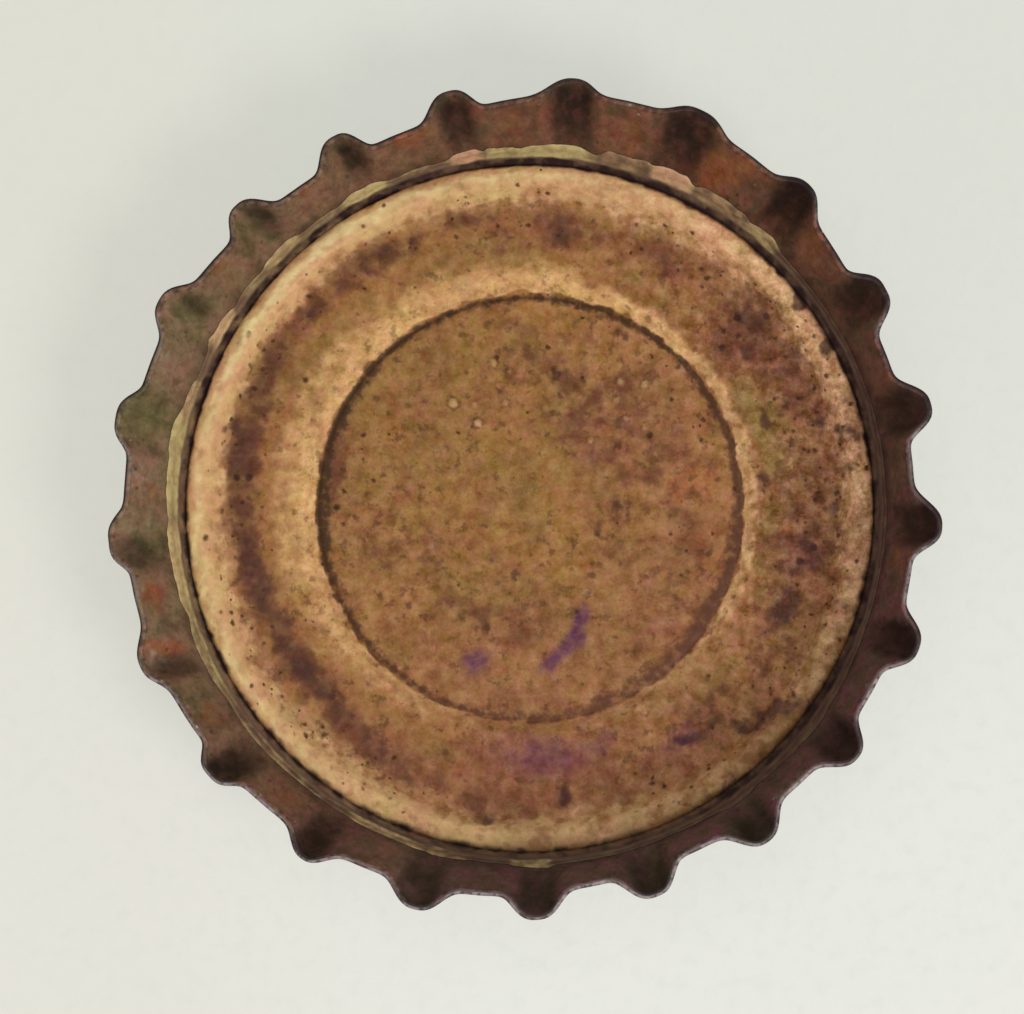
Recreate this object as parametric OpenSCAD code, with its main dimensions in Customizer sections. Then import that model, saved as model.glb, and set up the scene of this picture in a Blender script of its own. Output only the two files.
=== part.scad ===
// Crown bottle cap, lying on its flat outer panel with the open side up.
// Two pieces: a crown shell pressed from tinplate, and the plastic liner moulded into it.
// Lengths are in millimetres and angles in degrees. The origin is the centre of the flat
// outer face, and +Z points out of the mouth. Directions count from +X towards +Y.

/* [Crown shell] */
// Height of the cap, up to the rim between two flutes
height = 6; // [5.4:0.1:6.8]
// Diameter of the rim across the crests of the flutes
crest_d = 32.2; // [31.6:0.1:32.8]
// Diameter of the rim across the hollows between the flutes
hollow_d = 30.3; // [29.8:0.1:31]
// Thickness of the tinplate
wall = 0.24; // [0.2:0.01:0.28]
// Diameter of the flat panel, to where the corner starts
panel_d = 24.6; // [24:0.1:25]
// Outside radius of the corner between panel and skirt
corner_r = 1.9; // [1.6:0.05:2.2]

/* [Flutes] */
// How many flutes are crimped around the skirt
flutes = 21; // [18:1:24]
// Direction of the first crest
first_flute = 14.2; // [0:0.1:17]
// Half width of a crest, as a share of the distance to the next one
crest_share = 0.2; // [0.16:0.001:0.24]
// How square the crest is: 2 is a bell, more is flatter on top
crest_square = 3; // [2:0.1:3.4]

/* [Bends] */
// Direction of the bend that the bottle opener left
pry_dir = 68; // [0:1:359]
// Arc on each side of that direction that the bend reaches
pry_arc = 43; // [30:1:60]
// How far the bend leans the skirt outwards
pry_lean = 10; // [0:0.2:11]
// Share of the flutes' depth that the bend has pulled flat
pry_flat = 0.4; // [0:0.02:0.6]
// How far the skirt is drawn in on both sides of the bend
side_lean = 4.7; // [0:0.1:6]

/* [Liner] */
// Diameter of the middle pad, inside the crease
pad_d = 16.6; // [14:0.1:17]
// Thickness of the middle pad
pad_t = 0.35; // [0.2:0.01:0.45]
// Width of the rounded shoulder around the pad
shoulder_w = 1.3; // [1:0.05:1.6]
// Thickness of the liner at the top of the shoulder
shoulder_t = 0.62; // [0.5:0.01:0.8]
// Thickness of the liner at the seat, where the bottle's lip presses
seat_t = 0.45; // [0.3:0.01:0.48]
// Thickness of the liner at the top of the outer bead
bead_t = 1.05; // [0.8:0.01:1.2]
// Width of the bead, from the seat to the crease
bead_w = 1.25; // [1:0.05:1.6]
// Width of the crease that parts the bead from the flash
crease_w = 0.08; // [0.04:0.01:0.14]
// Thickness of the liner at the bottom of the crease
crease_t = 0.76; // [0.65:0.01:0.85]
// Thickness of the flash that climbs the corner, at the crease
flash_foot_t = 0.18; // [0.14:0.01:0.22]
// Thickness of the flash at its free edge
flash_t = 0.12; // [0.08:0.01:0.14]
// How far the flash climbs the skirt beyond the corner
flash_rise = 0.5; // [0.1:0.05:0.8]
// Gap between the liner and the corner that it fills
liner_fit = 0.03; // [0.02:0.01:0.05]

/* [Smoothness] */
// Points along each flute
flute_points = 12; // [8:2:12]
// Rows of points around the corner
corner_rows = 5; // [4:1:6]
// Rows of points up the skirt
skirt_rows = 3; // [2:1:5]
// Points along each curve of the liner's section
curve_points = 8; // [5:1:12]

/* [Hidden] */

TINPLATE = [0.36, 0.26, 0.2];
AGED_PLASTIC = [0.74, 0.57, 0.38];

// ---- the shell's middle surface, halfway through the tinplate ----
panel_r = panel_d / 2;
mid_r = corner_r - wall / 2;

// The skirt runs straight on from the corner at its flare, the angle from upright.
// Where the corner ends, and the rim after a further length of skirt.
function corner_end(flare) = [panel_r + mid_r * cos(flare), corner_r - mid_r * sin(flare)];
function rim_mid(flare, skirt) = corner_end(flare) + skirt * [sin(flare), cos(flare)];
function rim_outer_r(flare, skirt) = rim_mid(flare, skirt).x + wall / 2 * cos(flare);

// Skirt length that brings a rim at this flare up to the full height
function skirt_to_height(flare) =
    (height - wall / 2 * sin(flare) - corner_end(flare).y) / cos(flare);
// Skirt length left of the round blank once its panel and corner are used up
function skirt_of_blank(flare) = blank_r - panel_r - mid_r * (90 - flare) * PI / 180;

// The flare that gives the rim a diameter, found by halving
function hollow_flare_for(d, low = 0, high = 60, n = 30) =
    let (flare = (low + high) / 2)
    n == 0 ? flare
    : 2 * rim_outer_r(flare, skirt_to_height(flare)) < d ? hollow_flare_for(d, flare, high, n - 1)
    : hollow_flare_for(d, low, flare, n - 1);
function crest_flare_for(d, low = 0, high = 60, n = 30) =
    let (flare = (low + high) / 2)
    n == 0 ? flare
    : 2 * rim_outer_r(flare, skirt_of_blank(flare)) < d ? crest_flare_for(d, flare, high, n - 1)
    : crest_flare_for(d, low, flare, n - 1);

hollow_flare = hollow_flare_for(hollow_d);
blank_r = panel_r + mid_r * (90 - hollow_flare) * PI / 180 + skirt_to_height(hollow_flare);
crest_flare = crest_flare_for(crest_d);

// ---- bends: [direction, arc on each side, lean outwards, change in the flutes' depth] ----
BENDS = [
    [pry_dir, pry_arc, pry_lean, -pry_flat],
    [pry_dir + 54, 37, -side_lean, 0.13],
    [pry_dir - 56, 44, -0.77 * side_lean, 0.16],
    [288, 37, -0.68 * side_lean, 0.15],
    [206, 112, 3.3, -0.31],
    [250, 32, 0, 0.15],
];

// 1 in the middle of a bend, easing to 0 at its ends
function bump(a, bend) =
    let (off = abs((a - bend[0] + 900) % 360 - 180))
    off < bend[1] ? (1 + cos(180 * off / bend[1])) / 2 : 0;
function bent(a, column, i = 0) =
    i == len(BENDS) ? 0 : BENDS[i][column] * bump(a, BENDS[i]) + bent(a, column, i + 1);

// The crimping jaws set the crests slightly off even spacing
function drift(a) = 0.66 * cos(a - 192) + 0.53 * cos(2 * a - 161) + 0.32 * cos(3 * a + 61);

// 1 on a crest, near 0 in the hollows
function crest_wave(a) =
    let (turn = flutes * (a - first_flute - drift(a)) / 360)
    exp(-pow(abs(turn - round(turn)) / crest_share, crest_square));

function flare_at(a) =
    hollow_flare + bent(a, 2)
    + (crest_flare - hollow_flare) * (1 + bent(a, 3)) * crest_wave(a);

// A point of the middle surface: v is 0 to 1 around the corner and 1 to 2 up the skirt
function mid_point(v, a) =
    let (
        flare = flare_at(a),
        turn = 90 - min(v, 1) * (90 - flare),
        up = max(v - 1, 0) * skirt_of_blank(flare),
        r = panel_r + mid_r * cos(turn) + up * sin(flare),
        z = corner_r - mid_r * sin(turn) + up * cos(flare)
    )
    [r * cos(a), r * sin(a), z];

// Its normal, pointing out of the cap, from two short steps across the surface
step_v = 0.001;
step_a = 0.01;
function normal_at(v, a) =
    let (
        v0 = v > 1 ? v - step_v : v,
        along = mid_point(v0 + step_v, a) - mid_point(v0, a),
        around = mid_point(v, a + step_a) - mid_point(v, a - step_a),
        n = cross(around, along)
    )
    n / norm(n);

ROWS = [
    for (i = [0 : corner_rows]) i / corner_rows,
    for (i = [1 : skirt_rows]) 1 + i / skirt_rows,
];

// Directions of the points around, drawn closer together on the crests
crest_pull = 0.3;
DIRECTIONS = [
    for (k = [0 : flutes - 1], i = [0 : flute_points - 1])
        let (t = 2 * i / flute_points - 1, u = t / 2 * (1 - crest_pull * (1 - t * t)))
        first_flute + (k + u) * 360 / flutes
];

function sheet_point(v, a, side) =
    v == 0 ? [panel_r * cos(a), panel_r * sin(a), side > 0 ? 0 : wall]
    : mid_point(v, a) + side * wall / 2 * normal_at(v, a);

// ---- crown shell: one sheet, pressed to a cup and crimped ----
module crown_shell() {
    rows = len(ROWS);
    n = len(DIRECTIONS);
    // rings run up the outside from the panel to the rim, and back down the inside
    rings = [
        for (i = [0 : rows - 1]) [for (a = DIRECTIONS) sheet_point(ROWS[i], a, 1)],
        for (i = [rows - 1 : -1 : 0]) [for (a = DIRECTIONS) sheet_point(ROWS[i], a, -1)],
    ];
    outer_middle = 2 * rows * n;
    inner_middle = outer_middle + 1;
    last_ring = (2 * rows - 1) * n;
    points = [for (ring = rings) each ring, [0, 0, 0], [0, 0, wall]];
    // each patch between two rings is split along its shorter diagonal
    faces = [
        for (j = [0 : n - 1]) let (k = (j + 1) % n) each [
            [outer_middle, j, k],
            [inner_middle, last_ring + k, last_ring + j],
            for (i = [0 : 2 * rows - 2])
                let (a = i * n + j, b = a + n, c = i * n + n + k, d = i * n + k)
                each norm(points[a] - points[c]) < norm(points[b] - points[d])
                    ? [[a, b, c], [a, c, d]] : [[a, b, d], [b, c, d]],
        ],
    ];
    color(TINPLATE) polyhedron(points = points, faces = faces, convexity = 6);
}

// ---- liner: moulded into the shell, so its underside follows panel and corner ----
// A smooth rise from p to q, level at both ends
function rise(p, q) = [
    for (i = [0 : curve_points])
        let (t = i / curve_points)
        [p.x + (q.x - p.x) * t, p.y + (q.y - p.y) * (1 - cos(180 * t)) / 2]
];
// A quarter of an ellipse, level at p and upright at q
function roll(p, q) = [
    for (i = [0 : curve_points])
        let (t = 90 * i / curve_points)
        [p.x + (q.x - p.x) * sin(t), q.y + (p.y - q.y) * cos(t)]
];

pad_r = pad_d / 2;
shoulder_top_r = pad_r + shoulder_w / 2;
shoulder_outer_r = pad_r + shoulder_w;
// half the width, and the depth, of the crease around the pad
pad_crease_w = 0.08;
pad_crease_depth = 0.08;

// Points of the corner's section, by turn from level or by height
function corner_point(r, turn) = [panel_r + r * cos(turn), corner_r - r * sin(turn)];
function corner_at_height(r, z) = corner_point(r, asin((corner_r - z) / r));

// The flash follows the corner until the least flared stretch of skirt leaves it,
// and then leans with that stretch
liner_corner_r = corner_r - wall - liner_fit;
least_flare = max(hollow_flare - side_lean, 0);
flash_bend = least_flare + 1;
flash_climb = flash_rise * [sin(least_flare), cos(least_flare)];
flash_inner = corner_point(liner_corner_r - flash_t, flash_bend);
flash_outer = corner_point(liner_corner_r, flash_bend);
flash_foot = corner_at_height(liner_corner_r - flash_foot_t, wall + crease_t);
bead_edge = flash_foot - [crease_w, 0];
seat_r = bead_edge.x - bead_w;
bead_top_r = bead_edge.x - bead_w / 2;

module liner() {
    pad_z = wall + pad_t;
    shoulder_z = wall + shoulder_t;
    seat_z = wall + seat_t;
    bead_z = wall + bead_t;
    section = concat(
        [[0, wall], [0, pad_z], [pad_r - pad_crease_w, pad_z], [pad_r, pad_z - pad_crease_depth]],
        rise([pad_r + pad_crease_w, pad_z], [shoulder_top_r, shoulder_z]),
        rise([shoulder_top_r, shoulder_z], [shoulder_outer_r, seat_z]),
        rise([seat_r, seat_z], [bead_top_r, bead_z]),
        roll([bead_top_r, bead_z], bead_edge),
        [flash_foot, flash_inner, flash_inner + flash_climb, flash_outer + flash_climb],
        [for (i = [0 : curve_points])
            corner_point(liner_corner_r, flash_bend + (90 - flash_bend) * i / curve_points)],
        [[panel_r - liner_fit, wall]]
    );
    color(AGED_PLASTIC) rotate_extrude($fn = 96) polygon(section);
}

crown_shell();
liner();
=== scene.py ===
"""A used crown bottle cap, lying open side up on a pale floor.

The detailed crown shell and liner are worked out in millimetres, in the CAD model's frame,
and become metres when their meshes are made. Directions are degrees from +X towards +Y.
"""
import math

import bpy
import numpy as np
from mathutils import Matrix, Vector, noise


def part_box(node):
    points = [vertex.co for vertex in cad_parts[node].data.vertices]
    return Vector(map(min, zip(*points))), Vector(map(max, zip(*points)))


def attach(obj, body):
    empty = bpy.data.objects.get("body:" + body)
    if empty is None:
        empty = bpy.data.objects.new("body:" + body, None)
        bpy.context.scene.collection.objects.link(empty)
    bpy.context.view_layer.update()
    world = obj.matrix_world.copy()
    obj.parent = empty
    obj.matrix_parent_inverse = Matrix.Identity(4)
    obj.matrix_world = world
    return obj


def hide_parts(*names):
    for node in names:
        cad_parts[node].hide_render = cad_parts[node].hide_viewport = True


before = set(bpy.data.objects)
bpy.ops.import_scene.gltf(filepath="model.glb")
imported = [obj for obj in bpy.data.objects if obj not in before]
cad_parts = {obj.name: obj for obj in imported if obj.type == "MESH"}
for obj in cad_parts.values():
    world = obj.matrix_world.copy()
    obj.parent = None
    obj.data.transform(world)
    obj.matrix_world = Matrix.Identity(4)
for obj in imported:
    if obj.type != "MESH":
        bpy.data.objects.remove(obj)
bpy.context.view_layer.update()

MM = 0.001

# ---- sizes shared with the CAD model, in millimetres and degrees ----
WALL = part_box("liner")[0].z / MM  # the liner lies on the panel
HEIGHT = 6.0
CREST_D = 32.2
HOLLOW_D = 30.3
PANEL_R = 12.3
CORNER_R = 1.9
FLUTES = 21
FIRST_FLUTE = 14.2
CREST_SHARE = 0.2
CREST_SQUARE = 3.0
# direction, arc on each side, lean outwards, change in the flutes' depth
BENDS = [
    (68, 43, 10.0, -0.40),
    (122, 37, -4.7, 0.13),
    (12, 44, -3.62, 0.16),
    (288, 37, -3.2, 0.15),
    (206, 112, 3.3, -0.31),
    (250, 32, 0.0, 0.15),
]

PAD_R = 8.3
PAD_T = 0.35
SHOULDER_W = 1.3
SHOULDER_T = 0.62
SEAT_T = 0.45
BEAD_T = 1.05
BEAD_W = 1.25
CREASE_W = 0.08
CREASE_T = 0.76
FLASH_FOOT_T = 0.18
LINER_FIT = 0.03

# ---- detail that the CAD model leaves out ----
SKIRT_BOW = 0.10
EDGE_WAVER = 0.03
DENT_DEPTH = 0.035
SKIN_FIT = 0.012
FLUTE_TAPER = 1.0
EDGE_CROWN = 0.06
RING_LINE_DEPTH = 0.07
FOOT_THINNER = 0.06
# heights of the flash's top: where it hardly climbs, and how much higher where it climbs fully
FLASH_LOW = 1.32
FLASH_CLIMB = 0.78
# points along a flute's rim and round the liner, and rows of points up the shell's sheet
POINTS_PER_FLUTE = 40
LINER_POINTS = 560
CORNER_ROWS = 11
SKIRT_ROWS = 27

# ---- light and camera: metres, degrees and shares of full light ----
WORLD_LIGHT = 0.48
# share of the floor's plain colour in what the camera sees of it
FLOOR_GLOW = 0.72
LENS = 230
CAMERA_DISTANCE = 0.25
CAMERA_TILT = (2.2, -3.5)
CAMERA_AIM = (-0.00047, -0.00029)


# ---- small helpers ----
def smooth(edge0, edge1, x):
    """0 at edge0 and 1 at edge1, easing at both ends. The edges may be in either order."""
    t = np.clip((x - edge0) / (edge1 - edge0), 0.0, 1.0)
    return t * t * (3.0 - 2.0 * t)


def mix(a, b, share):
    return a + (b - a) * share


def turn_between(a, b):
    """The signed angle from b to a, from -180 to 180 degrees."""
    return (a - b + 180.0) % 360.0 - 180.0


def polar(r, a, z=0.0):
    """Points at radius r and height z in the direction of a degrees."""
    a = np.radians(a)
    return np.stack([r * np.cos(a), r * np.sin(a), z + 0 * a], -1)


def field(points, size, seed, octaves=3):
    """Smooth noise, about -1 to 1, with features of that size at points in millimetres."""
    shift = Vector((seed * 17.3, seed * 5.1, seed * 9.7))
    return np.array([
        noise.fractal(Vector(p) / size + shift, 1.0, 2.0, octaves, noise_basis="PERLIN_ORIGINAL")
        for p in points
    ])


# ---- the shell's middle surface ----
MID_R = CORNER_R - WALL / 2


def skirt_to_height(flare):
    corner_z = CORNER_R - MID_R * math.sin(flare)
    return (HEIGHT - WALL / 2 * math.sin(flare) - corner_z) / math.cos(flare)


def rim_d(flare, skirt):
    return 2 * (PANEL_R + (MID_R + WALL / 2) * math.cos(flare) + skirt * math.sin(flare))


def halve(reaches, target):
    """The angle in radians at which a growing function reaches its target."""
    low, high = 0.0, math.radians(60)
    for _ in range(40):
        middle = (low + high) / 2
        if reaches(middle) < target:
            low = middle
        else:
            high = middle
    return low


HOLLOW_FLARE = halve(lambda f: rim_d(f, skirt_to_height(f)), HOLLOW_D)
BLANK_R = PANEL_R + MID_R * (math.pi / 2 - HOLLOW_FLARE) + skirt_to_height(HOLLOW_FLARE)


def skirt_of_blank(flare):
    return BLANK_R - PANEL_R - MID_R * (math.pi / 2 - flare)


CREST_FLARE = halve(lambda f: rim_d(f, skirt_of_blank(f)), CREST_D)


def crest_phase(a):
    """Turns of the flute pattern: whole numbers are the middles of the crests."""
    drift = 0.66 * np.cos(np.radians(a - 192)) + 0.53 * np.cos(np.radians(2 * a - 161))
    drift += 0.32 * np.cos(np.radians(3 * a + 61))
    return FLUTES * (a - FIRST_FLUTE - drift) / 360


def crest_wave(a):
    """1 on a crest and near 0 in the hollows. No two crests are quite alike."""
    phase = crest_phase(a)
    number = np.round(phase)
    u = phase - number
    rng = np.random.default_rng(21)
    pick = number.astype(int) % FLUTES
    width = CREST_SHARE * (1 + 0.05 * rng.standard_normal(FLUTES))[pick]
    skew = 0.06 * rng.standard_normal(FLUTES)[pick]
    square = CREST_SQUARE + 0.35 * rng.standard_normal(FLUTES)[pick]
    return np.exp(-(np.abs(u) / (width * (1 + skew * np.sign(u)))) ** square)


def lean_and_depth(a):
    """The skirt's lean in radians and the flutes' relative depth in each direction."""
    lean = np.zeros_like(a)
    depth = np.ones_like(a)
    for direction, arc, outwards, deeper in BENDS:
        off = np.minimum(np.abs(turn_between(a, direction)) / arc, 1.0)
        reach = (1 + np.cos(np.pi * off)) / 2
        lean += np.radians(outwards) * reach
        depth += deeper * reach
    return lean, depth


def flare_at(a, up=1.0):
    """The skirt's flare at the rim, or lower down, where the flutes are narrower."""
    lean, depth = lean_and_depth(a)
    wave = crest_wave(a) ** (1 + FLUTE_TAPER * (1 - up))
    return HOLLOW_FLARE + lean + (CREST_FLARE - HOLLOW_FLARE) * depth * wave


def mid_surface(v, a):
    """Points of the middle surface: v is 0 to 1 round the corner and 1 to 2 up the skirt."""
    up = np.maximum(v - 1.0, 0.0)
    flare = flare_at(a, up)
    turn = np.pi / 2 - np.minimum(v, 1.0) * (np.pi / 2 - flare)
    length = up * skirt_of_blank(flare)
    bow = -SKIRT_BOW * np.sin(np.pi * up) * crest_wave(a)
    r = PANEL_R + MID_R * np.cos(turn) + length * np.sin(flare) + bow * np.cos(flare)
    z = CORNER_R - MID_R * np.sin(turn) + length * np.cos(flare) - bow * np.sin(flare)
    return polar(r, a, z)


def outward(v, a):
    """Unit normals of the middle surface, pointing out of the cap."""
    step_v, step_a = 0.002, 0.02
    v0 = np.minimum(v, 2.0 - step_v)
    along = mid_surface(v0 + step_v, a) - mid_surface(v0, a)
    around = mid_surface(v, a + step_a) - mid_surface(v, a - step_a)
    n = np.cross(around, along)
    return n / np.linalg.norm(n, axis=-1, keepdims=True)


# ---- mesh building ----
def ring_mesh(name, rings, first, last, attributes):
    """A closed mesh from rings of points, capped by a fan to a point at each end."""
    rows, n, _ = rings.shape
    points = np.concatenate([rings.reshape(-1, 3), [first], [last]]) * MM
    j = np.arange(n)
    k = (j + 1) % n
    quads = [
        np.stack([i * n + j, (i + 1) * n + j, (i + 1) * n + k, i * n + k], 1)
        for i in range(rows - 1)
    ]
    end = (rows - 1) * n
    start_fan = np.stack([np.full(n, rows * n), j, k], 1)
    end_fan = np.stack([np.full(n, rows * n + 1), end + k, end + j], 1)
    faces = np.concatenate(quads)[:, ::-1].tolist()
    faces += start_fan[:, ::-1].tolist() + end_fan[:, ::-1].tolist()
    mesh = bpy.data.meshes.new(name)
    mesh.from_pydata(points.tolist(), [], faces)
    for key, values in attributes.items():
        layer = mesh.attributes.new(key, "FLOAT", "POINT")
        values = np.concatenate([values.reshape(-1), values[0, :1], values[-1, :1]])
        layer.data.foreach_set("value", values.astype(np.float32))
    mesh.polygons.foreach_set("use_smooth", [True] * len(mesh.polygons))
    mesh.update()
    piece = bpy.data.objects.new(name, mesh)
    bpy.context.scene.collection.objects.link(piece)
    return piece


# ---- marks seen from above ----
def by_direction(a, values):
    """A value that changes evenly between those given for some directions, all the way round."""
    return np.interp(a, list(values), list(values.values()), period=360)


class Marks:
    """Lays marks with ragged outlines on an array of points, as they are seen from above."""

    def __init__(self, points):
        self.shape = points.shape[:2]
        flat = points.reshape(-1, 3) * (1, 1, 0)
        self.x = points[..., 0] + self.field(flat, 1.3, 41, 0.22) + self.field(flat, 0.45, 42, 0.16)
        self.y = points[..., 1] + self.field(flat, 1.3, 43, 0.22) + self.field(flat, 0.45, 44, 0.16)
        self.ragged = self.field(flat, 0.6, 45, 0.30)
        self.r = np.hypot(self.x, self.y)
        self.a = np.degrees(np.arctan2(self.y, self.x)) % 360

    def field(self, flat, size, seed, amount):
        return amount * field(flat, size, seed).reshape(self.shape)

    def ovals(self, marks):
        """Marks given as direction, radius, length along the circle, width across, strength."""
        total = np.zeros(self.shape)
        for direction, radius, length, width, strength in marks:
            along = radius * np.radians(turn_between(self.a, direction)) / (length / 2)
            reach = np.hypot(along, (self.r - radius) / (width / 2)) + self.ragged
            total = np.maximum(total, strength * smooth(1.5, 0.2, reach))
        return total

    def dots(self, marks, width):
        """Small round marks of about one width, given as direction, radius and strength."""
        return self.ovals([(a, r, width * k ** 0.5, width * k ** 0.5, k) for a, r, k in marks])

    def smears(self, marks):
        """Streaks given as a start and an end, each direction and radius, width, strength."""
        total = np.zeros(self.shape)
        for a0, r0, a1, r1, width, strength in marks:
            p, q = polar(r0, a0)[:2], polar(r1, a1)[:2]
            d = q - p
            t = np.clip(((self.x - p[0]) * d[0] + (self.y - p[1]) * d[1]) / (d @ d), 0, 1)
            off = np.hypot(self.x - p[0] - t * d[0], self.y - p[1] - t * d[1]) / (width / 2)
            total = np.maximum(total, strength * smooth(1.6, 0.1, off + self.ragged))
        return total

    def at(self, value):
        """A value as it is, or by direction where it is given so."""
        return by_direction(self.a, value) if isinstance(value, dict) else value

    def ring(self, *numbers):
        """A ring: its inner and outer radius, its strength and how soft its two sides are."""
        inner, outer, strength, soft_in, soft_out = map(self.at, numbers)
        begins = smooth(inner - soft_in, inner + soft_in, self.r + soft_in * self.ragged)
        ends = smooth(outer + soft_out, outer - soft_out, self.r + soft_out * self.ragged)
        return strength * begins * ends


# ---- crown shell ----
# Marks on the skirt's inner side: direction, radius, length, width, strength
SKIRT_RUST = [
    (202, 15, 0.7, 1.6, 0.9), (194, 14.8, 1.6, 1, 0.6), (60, 14.9, 2.2, 1.4, 0.8),
    (57, 15.3, 1.6, 0.8, 0.6), (75, 14.8, 2, 1.2, 0.5), (41, 14.9, 1.4, 1.1, 0.5),
    (92, 14.6, 1.4, 0.7, 0.4), (107, 14.7, 1.8, 1, 0.5), (124, 14.6, 1.6, 0.8, 0.35),
    (142, 14.7, 1.4, 0.9, 0.35), (178, 14.9, 1.3, 1.2, 0.45), (214, 14.7, 1.2, 0.9, 0.4),
    (231, 14.6, 1.4, 0.9, 0.4), (352, 14.6, 1.8, 0.9, 0.35), (18, 14.6, 1.8, 0.9, 0.4),
]
SKIRT_OLIVE = [
    (167, 15, 2.6, 2.2, 0.8), (186, 14.6, 1.8, 1.4, 0.6), (150, 14.9, 2.2, 1.8, 0.6),
    (135, 14.9, 2, 1.6, 0.7), (118, 15.2, 1.4, 0.9, 0.5), (101, 15.6, 1.6, 0.5, 0.5),
    (143, 14.7, 1.6, 1.2, 0.4), (212, 15, 1.4, 1.2, 0.3), (84, 15.8, 1.6, 0.5, 0.4),
    (289, 15, 1.4, 1.4, 0.5), (305, 14.9, 1.6, 1.4, 0.4),
]
# Where the lacquer is worn grey
SKIRT_GREY = [
    (176, 15.2, 1.6, 1.4, 0.7), (158, 15.1, 2, 0.8, 0.5), (110, 15.2, 1.8, 0.8, 0.4),
    (194, 15.3, 1.8, 0.5, 0.5), (346, 15.2, 2.4, 0.5, 0.6), (330, 15.1, 1.8, 0.5, 0.5),
    (3, 15, 1.8, 0.7, 0.6), (24, 15.1, 1.8, 0.5, 0.4), (203, 15.5, 0.8, 0.4, 0.8),
    (313, 15, 2.4, 0.5, 0.4), (281, 15, 2, 0.4, 0.4),
]
# Dirt and painted shade in the flutes' pockets: direction, how many degrees it spreads to the left
# and to the right, how high it begins and ends, how soft its sides are, and how dark it is
POCKETS = [
    (13.5, 3.6, 3.4, -0.2, 1.4, 1.3, 0.85), (30.9, 3.6, 3.4, 0, 1.4, 1.2, 0.9),
    (48.8, 2.8, 4, 0, 1.4, 1.6, 1), (66.4, 3.5, 3.6, -0.3, 1.2, 1.3, 0.95),
    (83.5, 2.9, 3.4, -0.2, 1.05, 1.2, 0.95), (99.9, 2.8, 2.2, 0, 1, 1.2, 0.95),
    (116.4, 2, 1.7, 0.1, 0.95, 0.9, 1), (132.6, 1.8, 1.5, 0.2, 1, 1, 0.85),
    (148.8, 1, 1.3, 0.2, 0.85, 0.8, 0.75), (188.2, 2.2, 3.2, 0, 0.95, 1.3, 0.65),
    (204.9, 2.3, 2, 0, 0.9, 0.9, 0.8), (221.6, 3.2, 2.6, 0.1, 1.1, 1.3, 1),
    (237.9, 3, 2.6, -0.1, 1.4, 1.4, 0.95), (254.6, 3.2, 3.2, -0.3, 1.2, 1.3, 0.75),
    (271.8, 2.9, 2.9, -0.1, 1.4, 1.1, 0.85), (288.6, 3, 3, 0.1, 1.4, 1.2, 0.9),
    (305.4, 3, 3, 0.2, 1.4, 1.2, 0.95), (322.5, 3, 3.2, 0.1, 1.4, 1.2, 0.95),
    (339, 3, 2.3, 0, 1.4, 0.9, 1), (356.4, 3.3, 3, 0.1, 1.4, 1.2, 0.95),
]
# Where that dirt and shade is greenish. Tables in braces give a value for some directions.
POCKET_GREEN = {
    0: 0.2, 14: 0.5, 40: 0.1, 110: 0.2, 134: 0.8, 186: 0.6, 240: 0.3, 256: 0.7, 290: 1, 306: 1,
    325: 0.2,
}
# Where the inner side is purplish and dull, partly painted shade on the side turned from the light
SKIRT_PLUM_AND_SHADE = {
    0: 0.95, 25: 0.8, 40: 0.3, 60: 0.2, 100: 0.1, 210: 0.2, 232: 0.4, 242: 0.9, 248: 0.5, 258: 0.9,
    320: 0.95,
}
SKIRT_WARM = {20: 0.4, 50: 0.9, 95: 0.8, 125: 0.4, 160: 0, 205: 0.2, 230: 0.5, 255: 0, 300: 0}


def dents(points, v):
    """How far the sheet is pushed outwards: broad soft dents, none on the flat panel."""
    flat = points.reshape(-1, 3)
    broad = field(flat, 6.0, 1, 2) + 0.45 * field(flat, 1.7, 2, 2)
    return DENT_DEPTH * broad.reshape(v.shape) * smooth(0.35, 1.2, v)


def sheet(v, a, offset):
    """Points at an offset outwards from the middle surface of the dented sheet."""
    middle = mid_surface(v, a)
    push = dents(middle, v) + offset
    return middle + outward(v, a) * push[..., None]


def build_shell():
    n = FLUTES * POINTS_PER_FLUTE
    a = FIRST_FLUTE + np.arange(n) * 360.0 / n
    waver = EDGE_WAVER * field(polar(20, a), 1.5, 3) / skirt_of_blank(HOLLOW_FLARE)
    v = np.concatenate([np.linspace(0, 1, CORNER_ROWS), 1 + np.linspace(0, 1, SKIRT_ROWS)[1:]])
    v = np.where(v[:, None] > 1, 1 + (v[:, None] - 1) * (1 + waver), v[:, None])
    outer = sheet(v, a, WALL / 2)
    inner = sheet(v, a, -WALL / 2)
    # the sheared edge, rounded over by wear
    share = np.array([0.04, 0.15, 0.32, 0.5, 0.68, 0.85, 0.96])
    crown = EDGE_CROWN * np.sin(np.pi * share) ** 0.6
    up = outer[-1] - outer[-2]
    up /= np.linalg.norm(up, axis=-1, keepdims=True)
    edge = mix(outer[-1], inner[-1], share[:, None, None]) + crown[:, None, None] * up
    rings = np.concatenate([outer, edge, inner[::-1]])

    over = np.broadcast_to(share[:, None], (len(share), n))
    height = np.concatenate([v - 1, over * 0 + 1, v[::-1] - 1]).clip(0, 1)
    inside = np.concatenate([v * 0, over, v * 0 + 1])
    facing = outward(np.full(n, 2.0), a)
    piece = ring_mesh(
        "crown_shell_detailed", rings, (0, 0, 0), (0, 0, WALL),
        shell_marks(rings, height, inside, np.degrees(np.arctan2(facing[:, 1], facing[:, 0]))))
    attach(piece, "root")
    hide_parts("crown_shell")
    return piece


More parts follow.
